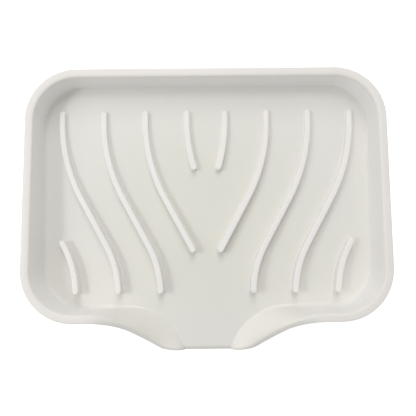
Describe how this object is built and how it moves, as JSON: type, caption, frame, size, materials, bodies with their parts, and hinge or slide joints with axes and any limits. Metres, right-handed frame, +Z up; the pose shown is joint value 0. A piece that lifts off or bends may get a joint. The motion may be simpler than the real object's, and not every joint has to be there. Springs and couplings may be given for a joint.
{
  "type": "self-draining soap dish",
  "caption": "Shallow silicone soap tray with raised curved drain ribs on a sloping floor and an open pouring spout at the front.",
  "frame": {"origin": "middle of the footprint, on the table", "axes": "+Z up, -Y towards the spout, +X to the right when the spout faces the viewer"},
  "size_m": [0.12, 0.0946, 0.018],
  "materials": {
    "silicone": "satin white moulded silicone",
    "silicone_rib": "satin white moulded silicone, polished a little by use",
    "silicone_underside": "fine matt white moulded silicone"
  },
  "bodies": {
    "root": {"tray_floor": "silicone", "perimeter_wall": "silicone", "spout_lip": "silicone", "spout_cheek_left": "silicone", "spout_cheek_right": "silicone", "outer_rib_left": "silicone_rib", "outer_rib_right": "silicone_rib", "middle_rib_left": "silicone_rib", "middle_rib_right": "silicone_rib", "inner_rib_left": "silicone_rib", "inner_rib_right": "silicone_rib", "centre_rib_left": "silicone_rib", "centre_rib_right": "silicone_rib", "corner_rib_left": "silicone_rib", "corner_rib_right": "silicone_rib", "support_fin_far_left": "silicone_underside", "support_fin_left": "silicone_underside", "support_fin_centre": "silicone_underside", "support_fin_right": "silicone_underside", "support_fin_far_right": "silicone_underside"}
  },
  "joints": []
}
